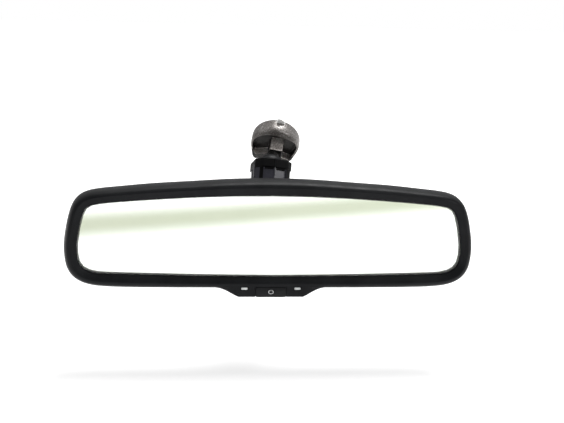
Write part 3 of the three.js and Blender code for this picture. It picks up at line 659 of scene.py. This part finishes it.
prof = [(0, 6.3), (2.95, 6.3), (2.95, -5.85), (3.95, -5.85), (4.1, -6.0), (4.1, -6.55)]
prof += [(4.1 - 1.3 * math.sin(math.pi / 2 * t / 8), -6.55 - 2.6 * (1 - math.cos(math.pi / 2 * t / 8))) for t in range(1, 9)]
prof += [(r, h - REACH) for r, h in arc(BALL_R, neck, 166, 36)]
prof.append((0, prof[-1][1]))
o = lathe("upper_stud", prof, 72)
finish_piece(o, MOUNT, "mount", MAT["ball_steel"], ("upper_ball_stud",), 40)
o = place(shell_ring("upper_liner_cup", LINER, 29, 154), (0, 0, 1), (0, 0, -REACH))
finish_piece(o, MOUNT, "upper_liner", MAT["nylon"], ("upper_ball_liner",), 40)
o = place(shell_ring("upper_seat_cup", SEAT, 36, 153), (0, 0, 1), (0, 0, -REACH))
finish_piece(o, MOUNT, "upper_seat", MAT["acetal"], ("upper_ball_seat",), 40)

prof = [(0, 22.3), (8.7, 22.3), (9.0, 22.0), (9.0, 20.6), (8.7, 20.3), (4.2, 20.3), (4.2, 18.0)]
prof += [(4.2 - 1.4 * math.sin(math.pi / 2 * t / 8), 18.0 - 2.6 * (1 - math.cos(math.pi / 2 * t / 8))) for t in range(1, 9)]
prof += arc(BALL_R, neck, 166, 36)
prof.append((0, prof[-1][1]))
o = place(lathe("lower_stud", prof, 72), (0, -1, 0), HEAD_BALL)
finish_piece(o, HEAD, "head", MAT["ball_steel"], ("lower_ball_stud",), 40)
o = place(shell_ring("lower_liner_cup", LINER, 29, 154), (0, -1, 0), HEAD_BALL)
finish_piece(o, HEAD, "lower_liner", MAT["nylon"], ("lower_ball_liner",), 40)
o = place(shell_ring("lower_seat_cup", SEAT, 42, 152), (0, -1, 0), HEAD_BALL)
finish_piece(o, HEAD, "lower_seat", MAT["acetal"], ("lower_ball_seat",), 40)

# ------------------------------------------------------------------ arm tube
U = (0, 0, ARM_L)


def cone(name, deg, h, d, at):
    return lathe(name, [(0, 0), (h * math.tan(math.radians(deg)), h), (0, h)], 72, d, at)


tube = sphere("arm_tube_shell", CUP[1], U)
boolean(tube, sphere("c", CUP[1]), "UNION")
boolean(tube, rod("c", 7.6, 0, ARM_L), "UNION")
boolean(tube, sphere("c", CUP[0], U))
boolean(tube, sphere("c", CUP[0]))
boolean(tube, rod("c", 6.0, 4, ARM_L - 4))
boolean(tube, cone("c", 38, 16, N_ARM, U))
boolean(tube, cone("c", 42, 16, FWD_ARM, (0, 0, 0)))
boolean(tube, block("c", -20, 20, -20, 20, ARM_L + 4.0, ARM_L + 20))
finish_piece(tube, ARM, "arm", MAT["tube_black"], ("arm_tube",), 35)

# ------------------------------------------------------------------ arm covers
SECTION = [(0, -12.9), (7.4, -11.75), (9.0, -10.7), (11.8, -7.4), (11.8, 7.8), (8.3, 11.6), (0, 12.0),
           (-8.3, 11.6), (-11.8, 7.8), (-11.8, -7.4), (-9.0, -10.7), (-7.4, -11.75)]


def rounded(section, r):
    """polygon with each corner turned into a short arc"""
    out, n = [], len(section)
    for i in range(n):
        a, b, c = (np.array(section[j % n], float) for j in (i - 1, i, i + 1))
        u, v = (a - b) / np.linalg.norm(a - b), (c - b) / np.linalg.norm(c - b)
        k = min(r, 0.45 * np.linalg.norm(a - b), 0.45 * np.linalg.norm(c - b))
        for t in (0, 0.25, 0.5, 0.75, 1):
            out.append((1 - t) ** 2 * (b + u * k) + 2 * t * (1 - t) * b + t * t * (b + v * k))
    return out


SEC = rounded(SECTION, 0.8)
top_band, band_low = ARM_L + 2.6, ARM_L - 2.8
LEVELS = [(0.55, -12.2), (0.66, -12.0), (0.78, -11.2), (0.88, -9.8), (0.96, -7.6), (0.99, -6.2), (1.0, -5.0), (1.0, band_low - 0.75), (1.004, band_low - 0.6), (1.046, band_low - 0.1), (1.05, band_low + 0.15), (1.05, top_band - 0.6), (1.042, top_band - 0.25), (1.02, top_band)]
cover = skin("cover", [[(p[0] * s, p[1] * s, h) for p in SEC] for s, h in LEVELS])
for x0, x1, dz in ((0.55, 7.0, 2.0), (-6.9, -0.55, 1.7)):
    f0, f1 = (-12.9 + 1.15 / 7.4 * abs(x) + 0.42 for x in (x0, x1))
    boolean(cover, plan("c", [(x0, f0), (x0, -17), (x1, -17), (x1, f1)], 12, band_low - dz))
for y0, y1 in ((-6.6, -5.4), (-1.6, -0.4)):
    boolean(cover, block("c", -12.7, -11.2, y0, y1, 2, band_low + 2, 0.3), "UNION")
# shallow moulded panels on the sides and the back
boolean(cover, block("c", 11.3, 14, -5.2, 5.6, 4, band_low - 3.0, 0.25))
boolean(cover, block("c", -5.6, 5.6, 11.35, 14, 6, band_low - 5.0, 0.25))
boolean(cover, sphere("c", CUP[1] + 0.35, U))
boolean(cover, sphere("c", CUP[1] + 0.35))
boolean(cover, rod("c", CUP[1] + 0.35, 0, ARM_L + 20))
boolean(cover, cone("c", 41, 26, N_ARM, U))
boolean(cover, cone("c", 40, 26, FWD_ARM, (0, 0, 0)))
right = cover.copy()
right.data = cover.data.copy()
right.name = "cover_right"
bpy.context.scene.collection.objects.link(right)
boolean(cover, block("c", -0.11, 30, -40, 40, -40, 90))
boolean(right, block("c", -30, 0.11, -40, 40, -40, 90))
cover.name = "cover_left"
for o, node in ((cover, "arm_cover_left"), (right, "arm_cover_right")):
    finish_piece(o, ARM, "arm", MAT["arm_plastic"], (node,), 28)
    # the top collar band is dark matte plastic; the strip under its overhang and the outer strips of the front get the
    # same dark colour as painted shade
    second(o, ARM, MAT["collar_black_and_painted_shade"], lambda c, n: c.z > band_low - 0.7)
    second(o, ARM, MAT["collar_black_and_painted_shade"], lambda c, n: c.z > 9 and c.y < -9 and c.z <= band_low - 0.7 and (c.z > band_low - 1.9 or abs(c.x) > 7.3))
    w = o.modifiers.new("w", "WEIGHTED_NORMAL")
    w.mode, w.weight, w.keep_sharp = "FACE_AREA", 100, True
    apply_all(o)

# ------------------------------------------------------------------ windshield mount
LIP_LEFT = [(-1, -5.0), (3.2, -5.6), (13.2, -9.6), (20, -12), (20, -25), (-1, -25)]
LIP_RIGHT = [(-20, -25), (-20, -12.0), (-12.1, -9.75), (-5.0, -7.7), (1, -6.0), (1, -25)]
ARCH = [(20, 2.4), (16, 2.4), (14.6, 4.2), (12.4, 7.0), (9.8, 9.3), (5.7, 10.9), (0.3, 11.3), (-5.9, 10.4), (-10.9, 8.7), (-13.2, 7.2), (-16, 5.0), (-20, 4.8), (-20, 22), (20, 22)]
NECK_CUT = [(-3.4, -2), (3.2, -2), (1.4, -6.2), (4.6, -11.0), (6.5, -14.0), (7.0, -25), (-10.6, -25), (-10.1, -11.8), (-6.1, -9.5), (-3.6, -8.0)]
SKIRT = [(15.4, -5.0), (14.7, -8.0), (14.2, -10.6), (13.3, -12.5), (12.0, -13.6), (4.6, -11.6), (3.4, -8.0), (9, -8.2), (13.2, -9.7)]
TRIM = [(-15.95, 1.0), (-15.1, -2.1), (-13.7, -6.0), (-12.9, -9.0), (-12.4, -11.7), (-12.4, -25), (-25, -25), (-25, 1.0)]
base = lathe("mount_puck", [(0, 0), (15.0, 0), (15.6, 0.25), (16.05, 0.9), (16.35, 2.4), (16.4, 3.4), (16.4, 8.2), (16.2, 9.7), (15.6, 11.0), (14.6, 12), (0, 12)], 128)
pocket = rod("pocket", 14.9, -1, 5.6, 128)
boolean(pocket, plan("c", LIP_LEFT, -2, 8))
boolean(pocket, plan("c", LIP_RIGHT, -2, 8))
boolean(pocket, plan("c", ARCH, -2, 8))
boolean(pocket, plan("c", [(-14.5, 2.5), (-13.6, -2.4), (-12.2, -6.2), (-11.4, -9.0), (-10.9, -11.7), (-10.9, -25), (-25, -25), (-25, 2.5)], -2, 8))
boolean(base, pocket)
boolean(base, plan("c", SKIRT, 0.3, 4.9), "UNION")
boolean(base, plan("c", TRIM, -1, 13))
boolean(base, plan("c", NECK_CUT, -1, 4.2))
boss = block("c", -5.7, 2.7, -3.4, 4.2, -5.7, 7, 0.7, 4)
boolean(boss, rod("c", 4.3, -5.7, 7, 64, bevel=0.5), "UNION")
boolean(base, boss, "UNION")
# channel for the button on the glass, recess and slot for the clip
boolean(base, link("c", [(x, y, z) for y in (-20, 7.5) for x, z in ((-9.6, 8.5), (9.6, 8.5), (9.6, 10.65), (8.2, 11.5), (8.2, 13), (-8.2, 13), (-8.2, 11.5), (-9.6, 10.65))],
                   [tuple(range(8)), tuple(range(8, 16))[::-1]] + [(i, i + 8, (i + 1) % 8 + 8, (i + 1) % 8) for i in range(8)]))
boolean(base, block("c", -6.0, 3.6, 4.4, 13.0, 7.6, 13))
boolean(base, block("c", -4.05, 1.5, 12.8, 20, 7.7, 13))
m = base.modifiers.new("r", "REMESH")
m.mode, m.voxel_size = "VOXEL", 0.25
apply_all(base)
m = base.modifiers.new("s", "SMOOTH")
m.factor, m.iterations = 0.5, 8
apply_all(base)
boolean(base, rod("c", 3.12, -7, 6.6, 48))
for x in (1.6, -4.0):
    boolean(base, rod("c", 0.85, 4.4, 9, 24, at=(x, 9.4, 0)))
finish_piece(base, MOUNT, "mount", MAT["cast_grey"], ("mount_base",), 40)


def lit(c, n):
    """tops of the boss and of the lips, painted paler as a highlight"""
    if n.y < 0.45 or math.hypot(c.x, c.y) > 15.0:
        return False
    return abs(c.x + 1.5) < 4.4 and c.y > 3 and -5.8 < c.z < 5.4 or c.y < -3.8 and 0.1 < c.z < 5.6 and abs(c.x + 1) > 3.2


def in_pocket(c, n):
    r = math.hypot(c.x, c.y)
    if lit(c, n):
        return False
    inside = r < 15.05 and -5.9 < c.z < 6.4
    return inside and (c.z > 1.2 or c.z < -0.1) or inside and abs(c.x) < 4 and c.y < -1 or c.z < 0.9 and c.y < -5.2 and n.z < -0.4 and r < 18


# painted shade: a darker paint copy in the pockets, the neck and the lip fronts; painted highlight: a paler copy on the
# tops of the boss and lips
second(base, MOUNT, MAT["cast_shaded"], in_pocket)
second(base, MOUNT, MAT["cast_painted_highlight"], lit)

clip = plan("clip_leaf", [(3.4, 4.7), (3.4, 12.5), (1.3, 12.7), (1.3, 19.0), (1.0, 19.3), (-1.1, 19.4), (-3.7, 17.7), (-3.9, 17.3), (-3.9, 12.7), (-5.8, 12.5), (-5.8, 4.7)], 7.9, 8.6)
for x in (1.6, -4.0):
    boolean(clip, rod("c", 0.95, 7, 9.4, 32, at=(x, 9.4, 0)))
finish_piece(clip, MOUNT, "mount", MAT["clip_bright"], ("button_clip",), 30)

# ------------------------------------------------------------------ floor and light
floor_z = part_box("bezel")[0].z - 0.048   # low enough for the head to swing above it


def stage_mat(name):
    """white table; bright far away, with a pale strip in front of the mirror that shows in the glass"""
    m, nt, b, vec = new_mat(name)
    sep = nt.nodes.new("ShaderNodeSeparateXYZ")
    nt.links.new(vec, sep.inputs[0])
    s = math_node(nt, "ADD", sep.outputs[1], math_node(nt, "MULTIPLY", sep.outputs[0], 0.40))
    pos = math_node(nt, "DIVIDE", math_node(nt, "ADD", s, 0.7543), 0.24)
    white, strip = (0.93, 0.93, 0.93), (0.485, 0.500, 0.412)
    band = ramp(nt, pos, [(0.04, 0.0), (0.50, 1.0), (0.58, 1.0), (1.0, 0.0)], "EASE")
    seen = nt.nodes.new("ShaderNodeLightPath").outputs["Is Camera Ray"]
    mixc = nt.nodes.new("ShaderNodeMixRGB")
    nt.links.new(math_node(nt, "MULTIPLY", band, math_node(nt, "SUBTRACT", 1.0, seen)), mixc.inputs[0])
    mixc.inputs[1].default_value, mixc.inputs[2].default_value = (*white, 1), (*strip, 1)
    col = mixc.outputs[0]
    nt.links.new(col, b.inputs["Base Color"])
    nt.links.new(col, b.inputs["Emission Color"])
    far = math_node(nt, "SQRT", math_node(nt, "ADD", math_node(nt, "MULTIPLY", sep.outputs[0], sep.outputs[0]), math_node(nt, "MULTIPLY", sep.outputs[1], sep.outputs[1])), 0)
    nt.links.new(ramp(nt, math_node(nt, "MULTIPLY", far, 0.4), [(0.0, 0.34), (0.12, 0.40), (0.30, 0.62), (0.55, 1.0)]), b.inputs["Emission Strength"])
    b.inputs["Roughness"].default_value = 0.7
    b.inputs["Specular IOR Level"].default_value = 0.2
    return m


me = bpy.data.meshes.new("floor")
me.from_pydata([(-12, -12, floor_z), (12, -12, floor_z), (12, 12, floor_z), (-12, 12, floor_z)], [], [(0, 1, 2, 3)])
floor = bpy.data.objects.new("floor", me)
bpy.context.scene.collection.objects.link(floor)
me.materials.append(stage_mat("floor_white"))

world = bpy.data.worlds.new("studio")
bpy.context.scene.world = world
world.use_nodes = True
wt = world.node_tree
wt.nodes.clear()
wo = wt.nodes.new("ShaderNodeOutputWorld")
mixw = wt.nodes.new("ShaderNodeMixShader")
bg1, bg2 = wt.nodes.new("ShaderNodeBackground"), wt.nodes.new("ShaderNodeBackground")
lp, tcw, sep = wt.nodes.new("ShaderNodeLightPath"), wt.nodes.new("ShaderNodeTexCoord"), wt.nodes.new("ShaderNodeSeparateXYZ")
wt.links.new(tcw.outputs["Generated"], sep.inputs[0])
up = ramp(wt, sep.outputs[2], [(0.0, 0.45), (0.25, 0.55), (0.8, 1.0)])
back = ramp(wt, math_node(wt, "ADD", math_node(wt, "MULTIPLY", sep.outputs[1], 0.5), 0.5), [(0.05, 0.35), (0.5, 0.6), (0.85, 1.0)])
wt.links.new(math_node(wt, "MAXIMUM", math_node(wt, "MULTIPLY", up, back), 0.16), bg1.inputs[0])
bg1.inputs[1].default_value = 0.95
bg2.inputs[0].default_value = (1.0, 1.0, 1.0, 1)
wt.links.new(lp.outputs["Is Camera Ray"], mixw.inputs[0])
wt.links.new(bg1.outputs[0], mixw.inputs[1])
wt.links.new(bg2.outputs[0], mixw.inputs[2])
wt.links.new(mixw.outputs[0], wo.inputs[0])


def area(name, at, target, size, power, col=(1, 1, 1)):
    d = bpy.data.lights.new(name, "AREA")
    d.shape, d.size, d.energy, d.color = "DISK", size, power, col
    o = bpy.data.objects.new(name, d)
    bpy.context.scene.collection.objects.link(o)
    o.location = at
    v = Vector(target) - Vector(at)
    o.rotation_euler = v.to_track_quat("-Z", "Y").to_euler()
    return o


area("top", (0.30, 0.30, 1.45), (0, 0, -0.03), 0.8, 19)
area("front", (0.95, -1.15, 0.85), (0.0, 0, 0.0), 0.4, 7)
